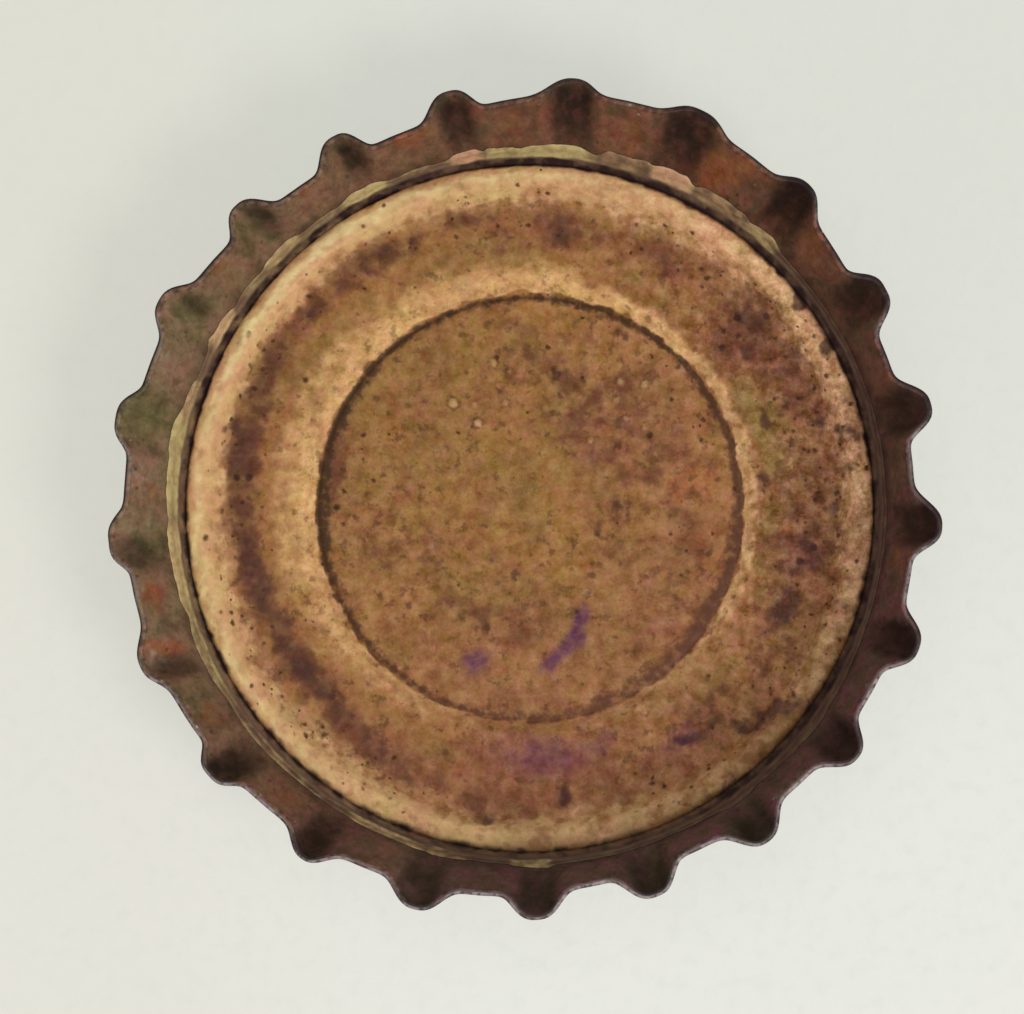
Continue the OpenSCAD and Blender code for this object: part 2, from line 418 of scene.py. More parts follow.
def shell_marks(rings, height, inside, facing):
    """The shell's mark attributes. inside is 0 on the outer face and 1 on the inner one, and
    facing is the direction that the rim's outer side faces."""
    marks = Marks(rings)
    a = np.degrees(np.arctan2(rings[..., 1], rings[..., 0]))
    # dirt and painted shade: darker towards the corner, and in each flute's pocket
    dirt_and_shade = 0.35 * smooth(0.3, 0.0, height)
    for direction, left, right, foot, top, soft, dark in POCKETS:
        turn = turn_between(a, direction) + 0.8 * marks.ragged
        sides = smooth(-soft, soft, left - turn) * smooth(-soft, soft, right + turn)
        ends = smooth(foot - 0.2, foot + 0.5, height + 0.2 * marks.ragged)
        ends = ends * smooth(top + 0.15, top - 0.15, height) * mix(0.6, 1.0, smooth(0, 0.8, height))
        dirt_and_shade = np.maximum(dirt_and_shade, dark * sides * ends)
    tips = crest_wave(a) * smooth(70, 30, np.abs(turn_between(a, 8)))
    return {
        "height": height,
        "inside": inside,
        "edge": smooth(0.975, 1.0, height),
        "dirt_and_shade": dirt_and_shade,
        "green": by_direction(a, POCKET_GREEN),
        "rust": marks.ovals(SKIRT_RUST),
        "olive": marks.ovals(SKIRT_OLIVE),
        "grey": marks.ovals(SKIRT_GREY),
        "plum_and_shade": by_direction(a, SKIRT_PLUM_AND_SHADE),
        "warm": by_direction(a, SKIRT_WARM),
        # painted highlight on the rim edge that faces about 280 degrees
        "edge_highlight": smooth(108, 56, np.abs(turn_between(facing, 280))) * (1 - 0.75 * tips),
    }


# ---- liner ----
LINER_CORNER_R = CORNER_R - WALL - LINER_FIT
FOOT_Z = WALL + CREASE_T
FOOT_T = FLASH_FOOT_T - FOOT_THINNER
FOOT_TURN = math.asin((CORNER_R - FOOT_Z) / (LINER_CORNER_R - FOOT_T))
FOOT_R = PANEL_R + (LINER_CORNER_R - FOOT_T) * math.cos(FOOT_TURN)
BEAD_EDGE_R = FOOT_R - CREASE_W
BEAD_TOP_R = BEAD_EDGE_R - BEAD_W / 2
SEAT_R = BEAD_EDGE_R - BEAD_W - FOOT_THINNER

# Blisters in the pad: direction, radius, width, height
BLISTERS = [
    (126, 5.1, 0.42, 0.14), (121, 3.9, 0.36, 0.12), (104, 5.85, 0.34, 0.08), (104, 4.95, 0.28, 0.05),
    (103, 4.2, 0.32, 0.06), (113, 5.9, 0.3, 0.04), (111, 7.6, 0.3, 0.03), (69, 7.3, 0.36, 0.04),
    (55, 7.75, 0.36, 0.05), (78, 5.6, 0.4, 0.04), (54, 6.1, 0.42, 0.07), (47, 6.6, 0.34, 0.08),
    (80, 4, 0.4, 0.04), (43, 5.15, 0.32, 0.05), (39, 4.85, 0.38, 0.05), (48, 3.55, 0.3, 0.06),
    (98, 5.4, 0.3, 0.05), (118, 4.6, 0.32, 0.05), (60, 5.6, 0.32, 0.05), (58, 6.6, 0.34, 0.05),
    (86, 6.7, 0.34, 0.05), (51, 5.4, 0.3, 0.05), (35, 5.5, 0.34, 0.05), (66, 4.8, 0.32, 0.04),
]

# Flash: direction, arc, how far it climbs, how pale and how pink it is
FLASH_PATCHES = [
    (49, 8, 0.6, 0.6, 0.2), (57, 12, 0.9, 0.35, 0.5), (66.3, 8, 0.8, 1, 0.9), (74, 11, 0.95, 0.3, 0.7),
    (86, 13, 0.8, 0.85, 0), (94, 6, 0.8, 0.65, 0), (100.5, 8, 0.75, 0.9, 1), (108, 6, 0.4, 0.3, 0.3),
    (117, 9, 0.7, 0.95, 0.1), (125, 6, 0.4, 0.3, 0.3), (134, 9, 0.7, 0.6, 0.3),
    (142, 8, 0.45, 0.35, 0.1), (150, 8, 0.75, 0.75, 0.6), (162, 8, 0.6, 0.6, 0.4),
    (173, 22, 0.95, 0.85, 0), (189, 18, 0.8, 0.9, 0.2), (205, 16, 0.55, 0.5, 0),
    (224, 26, 0.35, 0.3, 0.3), (247, 15, 0.5, 0.6, 0.4), (257, 8, 0.4, 0.45, 0.4),
    (270.4, 8, 0.5, 0.5, 0), (316, 44, 0.85, 0.1, 0), (5, 50, 0.2, 0.12, 0.4),
]


def ease(t):
    return (1 - np.cos(np.pi * np.clip(t, 0, 1))) / 2


def top_z(r):
    """Height of the liner's upper side, out to the top of the bead."""
    shoulder_top = PAD_R + 0.1 + SHOULDER_W * 0.4
    z = PAD_T + (SHOULDER_T - PAD_T) * ease((r - PAD_R - 0.1) / (SHOULDER_W * 0.4))
    z = z - (SHOULDER_T - SEAT_T) * ease((r - shoulder_top) / (SHOULDER_W * 0.8))
    z = z + (BEAD_T - SEAT_T) * ease((r - SEAT_R + 0.15) / (BEAD_W / 2 + 0.15))
    return WALL + z - RING_LINE_DEPTH * np.exp(-((r - PAD_R) / 0.10) ** 2)


def v_at_height(z, a):
    """Where on the sheet, as mid_surface takes it, the height z is reached."""
    flare = flare_at(a)
    corner_end = CORNER_R - MID_R * np.sin(flare)
    turn = np.arcsin(np.clip((CORNER_R - z) / MID_R, -1, 1))
    on_corner = (np.pi / 2 - turn) / (np.pi / 2 - flare)
    on_skirt = 1 + (z - corner_end) / (skirt_of_blank(flare) * np.cos(flare))
    return np.where(z < corner_end, on_corner, on_skirt)


def flash_at(a):
    """How far the flash climbs, how pale and how pink it is, in each direction."""
    ring = polar(14, a)
    wander = a + 1.2 * field(ring, 1.2, 7)
    climb, pale, pink = np.full(a.shape, 0.22), np.full(a.shape, 0.15), np.zeros(a.shape)
    for direction, arc, far, paleness, pinkness in FLASH_PATCHES:
        near = smooth(1.25, 0.55, np.abs(turn_between(wander, direction)) / (arc / 2))
        climb = np.maximum(climb, far * near)
        pale = np.maximum(pale, paleness * near)
        pink = np.maximum(pink, pinkness * near)
    rough = 1 + 0.30 * field(ring, 1.4, 5) + 0.08 * field(ring, 0.4, 6)
    return climb * rough.clip(0.4, 1.5), pale, pink


def build_liner():
    n = LINER_POINTS
    a = np.arange(n) * 360.0 / n
    # the upper side, from the middle out to the bead's top, with closer rows round the pad
    shoulder_end = PAD_R + SHOULDER_W
    r = np.concatenate([
        np.linspace(0.12, PAD_R - 0.26, 73),
        np.linspace(PAD_R - 0.2, PAD_R + 0.2, 10),
        np.linspace(PAD_R + 0.26, shoulder_end, 14),
        np.linspace(shoulder_end + 0.1, SEAT_R - 0.15, 22),
        np.linspace(SEAT_R - 0.15, BEAD_TOP_R, 10)[1:],
    ])
    # and on over the bead, a quarter of an ellipse down to the crease
    roll = np.radians(np.linspace(0, 90, 9)[1:])
    z = np.concatenate([top_z(r), FOOT_Z + (WALL + BEAD_T - FOOT_Z) * np.cos(roll)])
    r = np.concatenate([r, BEAD_TOP_R + (BEAD_EDGE_R - BEAD_TOP_R) * np.sin(roll)])
    top = polar(r[:, None], a, z[:, None])
    top[..., 2] += unevenness(top)

    # the flash: up its face, over its lip and down behind it
    climb, pale, pink = flash_at(a)
    low = v_at_height(np.full(n, FOOT_Z + 0.02), a)
    high = v_at_height(FLASH_LOW + FLASH_CLIMB * climb, a)
    w = np.array([0, 0.1, 0.2, 0.32, 0.44, 0.56, 0.68, 0.78, 0.87, 0.94, 0.985, 1.0])[:, None]
    v = mix(low, high, w)
    body = mix(FOOT_T, 0.04 + 0.03 * climb, smooth(0, 0.6, w))
    lip = 0.03 * climb * np.exp(-((w - 0.8) / 0.14) ** 2)
    rounded = np.sqrt(1 - (np.clip(w - 0.78, 0, 1) / 0.2201) ** 2)
    face = sheet(v, a, -WALL / 2 - SKIN_FIT - (body + lip) * rounded)
    v = mix(low, high, np.array([0.1, 0.4, 0.7, 0.95])[:, None])
    back = sheet(v, a, -WALL / 2 - SKIN_FIT)
    # the hidden underside follows the corner and the panel
    v = low * np.linspace(0.95, 0.05, 5)[:, None]
    under = sheet(v, a, -WALL / 2 - LINER_FIT)
    seat = polar(PANEL_R - LINER_FIT, a, WALL)

    rings = np.concatenate([seat[None], under[::-1], back, face[::-1], top[::-1]])
    hidden = 1 + len(under) + len(back)
    level = np.zeros(rings.shape[:2])
    level[hidden:hidden + len(face)] = w[::-1]
    piece = ring_mesh(
        "liner_detailed", rings, (0, 0, WALL), (0, 0, WALL + PAD_T),
        liner_marks(rings, level, pale, pink))
    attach(piece, "root")
    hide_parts("liner")
    return piece


def blister_lift(points, spread=1.0):
    """Each blister's height at the points, in millimetres."""
    lift = np.zeros(points.shape[:2])
    for direction, radius, width, tall in BLISTERS:
        turn = math.radians(direction)
        x, y = points[..., 0] - radius * math.cos(turn), points[..., 1] - radius * math.sin(turn)
        reach = np.hypot(x, y) / (spread * width / 2)
        lift = np.maximum(lift, tall * (1 - reach ** 2).clip(0, 1) ** 0.8)
    return lift


def unevenness(points):
    """Height added to the liner's clean moulding: soft waves, blisters and grain."""
    flat = points.reshape(-1, 3) * (1, 1, 0)
    waves = 0.022 * field(flat, 2.6, 31, 2) + 0.014 * field(flat, 0.7, 32, 3)
    return waves.reshape(points.shape[:2]) + blister_lift(points)


# Marks on the liner: direction, radius, length along the circle, width across it, strength
BROWN = [
    (5, 11, 4.5, 3, 0.6), (26, 11.5, 4, 2, 0.75), (40, 11, 3.2, 3, 0.9), (61, 10.8, 3, 1, 0.6),
    (84, 10.9, 1.8, 1.5, 0.85), (76, 11.2, 1.3, 0.9, 0.6), (102, 11.6, 2, 0.8, 0.5),
    (120, 11.5, 3, 1.5, 0.85), (130, 11.3, 3, 1, 0.5), (139, 11.6, 2.8, 1, 0.6),
    (152, 11.5, 3, 1.2, 0.6), (168, 11.4, 4.2, 1.6, 1), (181, 11.4, 3, 1.1, 0.8),
    (193, 11.1, 4.4, 1.2, 1), (205, 10.9, 3, 1.1, 0.85), (216, 10.8, 3.6, 1.5, 1),
    (226, 10.9, 3, 1.3, 0.7), (235, 11, 3.4, 1.2, 0.75), (246, 11.3, 3, 1.2, 0.5),
    (258, 11.8, 2.4, 0.8, 0.5), (277, 11.3, 0.9, 1.1, 0.9), (305, 11.2, 2.4, 1, 0.5),
    (313, 10.4, 3, 1.2, 0.45), (326, 11, 3.2, 1.4, 0.5), (337, 10.7, 2.8, 2.2, 0.75),
    (352, 10.9, 3.4, 3.2, 0.65), (220, 12.3, 1.4, 0.8, 0.45), (318, 8, 8, 0.8, 0.6),
    (345, 8, 4, 0.6, 0.5), (285, 8.3, 5, 0.4, 0.4), (26, 7.9, 1.5, 0.7, 0.6), (42, 5.6, 1.6, 1.8, 0.4),
    (36, 3.6, 3, 1.8, 0.5), (80, 3.2, 2.6, 1, 0.35), (97, 7.2, 2, 1.2, 0.3), (170, 7.7, 3.8, 1, 0.6),
    (195, 5.8, 2.6, 2.2, 0.35), (210, 4.2, 2.6, 1.8, 0.3), (240, 4.9, 2.4, 1.4, 0.55),
    (311, 6.8, 1.8, 1.4, 0.35), (328, 5.8, 1.8, 1.4, 0.35), (90, 10.2, 5, 1, 0.3),
    (12, 5.6, 4, 3.4, 0.4), (352, 3.6, 4, 2.6, 0.4), (335, 7.2, 4, 1.6, 0.4), (55, 4.6, 5, 4.4, 0.5),
    (90, 5.4, 4, 3, 0.35), (268, 4.4, 4, 3, 0.3), (28, 10.6, 5, 2.6, 0.4), (50, 11.2, 3, 1.6, 0.4),
    (30, 6, 5, 2.4, 0.45), (75, 6.4, 4, 1.6, 0.35),
]
DARK = [
    (6, 9.3, 1, 0.8, 0.9), (13, 12.8, 0.8, 0.9, 0.8), (28.5, 13.2, 0.6, 0.6, 0.95),
    (37, 13.2, 0.7, 0.6, 0.95), (41, 11.4, 1.6, 1.3, 0.5), (30, 11.8, 1.3, 0.9, 0.5),
    (22, 10.7, 0.8, 0.7, 0.6), (337, 10.7, 2, 1.4, 0.75), (350, 10.9, 1.6, 1.2, 0.6),
    (20, 9.9, 0.7, 0.6, 0.6), (16, 11.6, 0.8, 0.8, 0.6), (7, 12.2, 0.7, 0.8, 0.7),
    (36, 10.6, 0.9, 0.8, 0.55), (19, 12.9, 0.5, 0.5, 0.6), (343, 12.8, 0.5, 0.9, 0.6),
    (347, 12.6, 0.5, 0.8, 0.6), (0, 11.9, 0.7, 0.7, 0.5), (46, 12.3, 0.8, 0.5, 0.5),
    (115, 11.7, 0.5, 0.7, 0.7), (118, 12.1, 0.5, 0.5, 0.6), (125, 11.4, 0.8, 0.5, 0.6),
    (262, 12.3, 1.4, 0.5, 0.6), (120, 11.6, 1.2, 0.9, 0.6), (84, 10.9, 1, 0.8, 0.5),
    (277, 11.3, 0.6, 0.8, 0.7), (150, 13.1, 1, 0.3, 0.7), (139, 11.5, 1, 0.5, 0.4),
    (165, 11.9, 1.4, 0.8, 0.7), (217, 10.8, 1.6, 0.7, 0.6), (197, 11, 1.4, 0.5, 0.5),
]
# The long stain in the seat: its inner and outer side, and how dark it is
STAIN_INNER = {
    120: 11.2, 140: 11.2, 165: 11, 176: 10.8, 190: 10.7, 200: 10.6, 215: 10.4, 225: 10.3, 238: 10.6,
    250: 10.9,
}
STAIN_OUTER = {
    120: 11.9, 140: 12, 165: 12.2, 176: 11.9, 190: 11.5, 200: 11.3, 215: 11.2, 225: 11.1, 238: 11.4,
    250: 11.7,
}
STAIN_DARK = {
    0: 0, 105: 0.1, 125: 0.4, 140: 0.35, 155: 0.55, 166: 0.85, 178: 0.65, 190: 0.75, 200: 0.9,
    208: 0.75, 217: 0.95, 227: 0.75, 240: 0.5, 256: 0.2, 275: 0,
}

REDDISH = [
    (62, 10.9, 5, 1.8, 0.6), (86, 10.9, 5, 1.8, 0.5), (20, 11.6, 8, 2.6, 0.5), (40, 10.6, 5, 3, 0.6),
    (270, 10.6, 9, 3.4, 0.7), (300, 11, 6, 2.6, 0.5), (123, 9.3, 1, 0.9, 0.7), (240, 11.2, 7, 2.4, 0.5),
    (350, 11, 5, 3, 0.5), (40, 3.8, 4, 3, 0.55), (350, 6.5, 4.5, 2.6, 0.45), (270, 9, 6, 1.2, 0.6),
    (200, 10.6, 6, 1, 0.4), (255, 5, 5, 3, 0.35), (315, 7, 6, 1.6, 0.35), (262, 7.6, 7, 1.4, 0.4),
]
ORANGE = [(8, 6.5, 2.8, 2, 0.55), (350, 7.2, 2.2, 1.4, 0.4), (180, 9.3, 3, 1.6, 0.25)]
OLIVE = [
    (19, 9.8, 3.6, 2, 1), (27, 9.6, 2, 1.2, 0.9), (12, 9.9, 2, 1.6, 0.8), (356, 9.4, 1.4, 0.8, 0.8),
    (345, 9.3, 1.2, 0.8, 0.8), (60, 9.9, 6, 1.5, 0.4), (100, 10.2, 6, 1.6, 0.6), (140, 10, 6, 1.4, 0.4),
    (345, 9.9, 3, 1.6, 0.6), (70, 4.6, 4, 3, 0.4), (105, 7, 4, 1.6, 0.4), (170, 4, 6, 5, 0.35),
    (230, 4.6, 4, 3, 0.4), (20, 2.6, 3, 1.6, 0.5), (318, 9.9, 3, 1.4, 0.4), (252, 10.1, 2.4, 1, 0.5),
    (332, 12.6, 2.6, 1.2, 0.45), (0, 0, 5, 3.6, 0.4),
]
VIOLET = [
    (251, 6.3, 1.2, 1.1, 0.8), (273, 9.7, 3.4, 1.6, 0.55), (285, 9.6, 1.4, 0.8, 0.4),
    (350, 10.6, 2.4, 1.4, 0.1), (303, 10.8, 2.6, 0.9, 0.3),
]
VIOLET_SMEARS = [(277, 6.2, 290, 5.3, 0.8, 0.95), (289, 5.3, 298, 4.7, 0.55, 0.95)]
DARK_SMEARS = [(324, 13.2, 313, 11.6, 0.8, 0.7), (313, 11.5, 303, 10.9, 0.7, 0.5)]
# Where the plastic is pinker
ROSY = {0: 0.8, 40: 0.7, 75: 0.2, 120: 0.15, 170: 0.3, 220: 0.4, 260: 0.8, 320: 0.8}
# Small dark blots: direction, radius, strength
BLOTS = [
    (131.7, 7.8, 0.6), (143.9, 7.6, 0.5), (165.9, 5.9, 0.8), (146.8, 5.7, 0.5), (151.9, 3.3, 0.5),
    (145.1, 4, 0.5), (136.3, 3.2, 0.6), (108.2, 6.8, 0.5), (109.6, 7.7, 0.5), (106.6, 3.2, 0.6),
    (105.5, 2.6, 0.5), (103.7, 4.7, 0.6), (126.9, 6.8, 0.5), (171.9, 5.2, 0.5), (179.1, 4.3, 0.5),
    (180.1, 5.9, 0.5), (175.2, 6.4, 0.6), (69.7, 8, 0.8), (62.4, 7.6, 0.9), (51.7, 7.1, 0.6),
    (69, 6.6, 0.5), (72.5, 6.2, 0.4), (79.2, 5.3, 0.8), (75.6, 4.6, 0.8), (67.9, 5.5, 0.5),
    (65.1, 5.8, 0.4), (47.5, 5.2, 0.6), (44.1, 4.9, 0.6), (35.6, 4.3, 0.9), (30, 7.5, 0.7),
    (65.4, 1.4, 0.4), (20, 4.6, 0.6), (219.6, 6, 1), (219.4, 4.9, 0.6), (214.1, 4.8, 0.6),
    (199.7, 3.6, 0.6), (201.9, 6.2, 0.5), (211.6, 6.8, 0.6), (211.5, 7.7, 0.5), (184.1, 6.1, 0.7),
    (236.8, 5.1, 0.8), (250.6, 5, 1), (246, 5, 0.7), (234.3, 2.4, 0.6), (256.3, 2.6, 0.8),
    (251.6, 2, 0.5), (256.7, 3.4, 0.5), (243.4, 7.7, 0.6), (257.8, 6.9, 0.4), (311, 3.4, 1),
    (343, 2.8, 0.9), (352, 2.1, 0.5), (359.5, 3.5, 0.8), (343, 3.6, 0.5), (337.7, 6.5, 0.5),
    (341, 7, 0.5), (346, 7.2, 0.6), (310, 1.2, 0.4), (333, 1.6, 0.4), (329, 6.8, 0.5),
]
# Where small brown blots crowd, and where black specks do
MOTTLED = [
    (180, 5.4, 7, 5, 0.9), (225, 5, 6, 5, 0.8), (130, 5.6, 6, 4, 0.6), (70, 5, 6, 5, 0.7),
    (0, 0, 5, 5, 0.4), (350, 4, 5, 4, 0.4), (100, 11.2, 9, 2.4, 0.6), (60, 11.4, 9, 2.4, 0.6),
    (20, 11, 9, 3.6, 0.9), (350, 11, 6, 3.6, 0.8), (140, 11.4, 8, 2, 0.6), (200, 11.6, 9, 2, 0.5),
    (235, 11.4, 8, 3, 0.7), (270, 10.8, 9, 3.4, 0.6), (310, 11, 9, 3.4, 0.7),
]
SPECKLED = [
    (8, 11.6, 9, 3.6, 1), (30, 11.4, 8, 3.6, 1), (352, 11.2, 6, 3.6, 0.9), (60, 11.6, 9, 2.4, 0.6),
    (90, 11.6, 9, 2, 0.5), (120, 11.8, 7, 1.6, 0.6), (150, 12, 7, 2, 0.7), (170, 11.6, 9, 2.2, 0.5),
    (205, 12, 9, 2.4, 0.6), (235, 12, 9, 2.4, 0.6), (330, 12.4, 4, 2, 0.7), (60, 7.9, 9, 0.8, 0.6),
    (30, 7.6, 4, 1.2, 0.5), (175, 7.6, 6, 1.4, 0.4), (300, 12.4, 9, 2, 0.4),
]
# The clean plastic of the shoulder and the bead: how far it reaches and how clean it is
SHOULDER_OUTER = {0: 8.85, 45: 8.9, 70: 9.1, 90: 9.5, 135: 9.9, 180: 9.9, 215: 9.6, 250: 9.2, 300: 8.9}
SHOULDER_SOFT = {0: 0.2, 50: 0.25, 90: 0.7, 180: 0.8, 225: 0.7, 260: 0.4, 320: 0.25}
# how clean the shoulder is, partly a painted highlight strongest on the lit side and weakest round 270
# degrees as painted shade
SHOULDER_CLEAN_AND_LIT = {
    0: 1, 30: 1, 60: 1, 90: 0.93, 135: 0.9, 180: 0.88, 215: 0.62, 240: 0.45, 270: 0.15, 300: 0.35,
    330: 0.8,
}
BEAD_INNER = {
    0: 12.2, 30: 12.2, 50: 12.15, 90: 12.1, 140: 12.25, 180: 12.1, 225: 12.1, 255: 12.25, 270: 12.1,
    300: 12.25, 330: 12.25,
}
BEAD_CLEAN = {
    0: 1, 25: 1, 55: 0.95, 90: 0.9, 130: 1, 180: 1, 215: 0.95, 250: 0.85, 280: 0.75, 300: 0.45,
    320: 0.35, 340: 0.75,
}
# and where it is pink
BEAD_PINK = {0: 0.7, 50: 0.7, 75: 0.3, 95: 0.1, 235: 0.1, 300: 0.4, 340: 0.6}
BEAD_SOFT = {0: 0.3, 40: 0.4, 80: 0.4, 120: 0.3, 200: 0.3, 250: 0.4, 300: 0.5}
HALF_CLEAN = {
    0: 0.1, 40: 0.45, 70: 0.5, 100: 0.45, 135: 0.2, 170: 0.35, 190: 0.75, 225: 0.7, 250: 0.3, 280: 0.4,
    320: 0.2,
}
# A painted highlight along the bead's brightest line
BEAD_PAINTED_HIGHLIGHT = {
    0: 0, 40: 0.15, 60: 0.3, 90: 0.5, 115: 0.8, 130: 1, 150: 0.9, 165: 0.5, 185: 0.6, 210: 0.6,
    230: 0.3, 250: 0,
}
# Dirt and painted shade in the crease round the pad: how dark it is, and how far it spreads over the
# pad
RING_LINE_DIRT_AND_SHADE = {
    0: 0.95, 50: 0.9, 72: 0.85, 95: 0.85, 125: 0.8, 150: 1, 185: 0.95, 205: 0.8, 235: 0.75, 255: 0.7,
    275: 0.75, 300: 0.75, 335: 0.85,
}
RING_LINE_SPREAD = {
    0: 0.6, 30: 0.4, 55: 0.36, 72: 0.42, 90: 0.38, 110: 0.36, 130: 0.42, 150: 0.75, 185: 0.75, 205: 0.5,
    235: 0.4, 265: 0.5, 290: 0.8, 320: 0.9, 345: 0.8,
}
# and where it is only a soft brown
RING_LINE_SOFT = {0: 0.6, 30: 0.3, 50: 0, 190: 0, 215: 0.3, 245: 0.7, 275: 0.9, 320: 0.95}
# How strongly the colour varies over small distances: on the seat, on the bead
SEAT_GRAIN = {0: 1.9, 45: 1.6, 75: 1.1, 100: 0.9, 225: 0.9, 270: 1.1, 315: 1.2}
BEAD_GRAIN = {0: 2, 30: 2.2, 55: 1.2, 80: 0.5, 110: 0.3, 270: 0.4, 300: 0.7, 335: 1.3}
# Where the flash is dull and purplish
FLASH_DULL = {0: 1, 40: 0.8, 60: 0.1, 195: 0.1, 235: 0.6, 280: 0.8, 320: 0.9}
# How dark the dirt and painted shade in the crease at the bead's foot are
CREASE_DIRT_AND_SHADE = {0: 0.9, 60: 1, 130: 1, 160: 0.9, 210: 0.85, 250: 0.75, 290: 0.55, 330: 0.7}
# How far out the dirt and painted shade in the crease at the bead's foot reach
CREASE_END = {
    0: 13.58, 30: 13.62, 60: 13.62, 90: 13.64, 120: 13.64, 150: 13.64, 180: 13.58, 210: 13.54,
    240: 13.58, 270: 13.62, 300: 13.7, 330: 13.7,
}
# and where it begins on the bead
CREASE_START = {
    0: 13.15, 60: 13.08, 90: 13.2, 120: 13.3, 150: 13.28, 180: 13.12, 240: 13.02, 300: 12.95, 330: 13,
}


def liner_marks(rings, level, pale, pink):
    """The liner's mark attributes, each 0 to 1. level is 0 to 1 up the face of the flash."""
    marks = Marks(rings)
    true_r = np.hypot(rings[..., 0], rings[..., 1])
    ragged_r = true_r + 0.2 * marks.ragged
    crease_end = marks.at(CREASE_END)
    beyond = smooth(crease_end - 0.12, crease_end + 0.16, ragged_r)
    crease = smooth(marks.at(CREASE_START), 13.5, ragged_r) * (1 - beyond)
    crease = crease * marks.at(CREASE_DIRT_AND_SHADE)
    seat_grain = mix(1.0, marks.at(SEAT_GRAIN), smooth(8.2, 9.4, marks.r))
    grain = mix(seat_grain, marks.at(BEAD_GRAIN), smooth(11.9, 12.6, marks.r))
    spread = marks.at(RING_LINE_SPREAD)
    line = smooth(PAD_R + 0.16, PAD_R, ragged_r) * smooth(PAD_R - spread, PAD_R - 0.06, ragged_r)
    domes = blister_lift(rings)
    around_domes = (blister_lift(rings, 1.7) - 2.0 * domes) / 0.1
    flash = beyond * smooth(0.05, 0.35, level)
    dull = marks.at(FLASH_DULL)
    return {
        # shoulder: clean plastic, partly a painted highlight
        "gold": marks.ring(8.4, SHOULDER_OUTER, SHOULDER_CLEAN_AND_LIT, 0.08, SHOULDER_SOFT),
        "cream": marks.ring(BEAD_INNER, 13.5, BEAD_CLEAN, BEAD_SOFT, 0.1),
        "painted_highlight": marks.ring(12.85, 13.15, BEAD_PAINTED_HIGHLIGHT, 0.25, 0.15),
        "half": marks.ring(11.6, 12.4, HALF_CLEAN, 0.3, 0.3),
        "brown": marks.ovals(BROWN),
        "dark": np.maximum(marks.ovals(DARK), marks.smears(DARK_SMEARS)),
        "stain": marks.ring(STAIN_INNER, STAIN_OUTER, STAIN_DARK, 0.35, 0.25),
        "blots": marks.dots(BLOTS, 0.42),
        "reddish": marks.ovals(REDDISH),
        "orange": marks.ovals(ORANGE),
        "olive": marks.ovals(OLIVE),
        "violet": np.maximum(marks.ovals(VIOLET), marks.smears(VIOLET_SMEARS)),
        "mottled": marks.ovals(MOTTLED),
        "speckled": marks.ovals(SPECKLED),
        "flash": flash * pale,
        "flash_pink": flash * pink,
        "crease": crease,
        "grain": grain,
        "dull": dull,
        "faded": dull * smooth(0.35, 0.95, level) * (1 - pale),
        "skin": smooth(BEAD_EDGE_R - 0.04, BEAD_EDGE_R + 0.06, true_r),
        "rosy": marks.at(ROSY) * smooth(1.0, 6.0, marks.r),
        "ring_line": line * marks.at(RING_LINE_DIRT_AND_SHADE),
        "ring_soft": marks.at(RING_LINE_SOFT),
        "pink": marks.at(BEAD_PINK),
        # painted highlight on the blisters' tops, and painted shade round them
        "blister_highlight": (domes / 0.12).clip(0, 1),
        "blister_shade": around_domes.clip(0, 1),
    }


# ---- materials ----
def rgb(r, g, b):
    """A colour given as screen values from 0 to 255, made linear."""
    return tuple(
        c / 12.92 if c <= 0.04045 else ((c + 0.055) / 1.055) ** 2.4
        for c in (r / 255, g / 255, b / 255)
    ) + (1.0,)


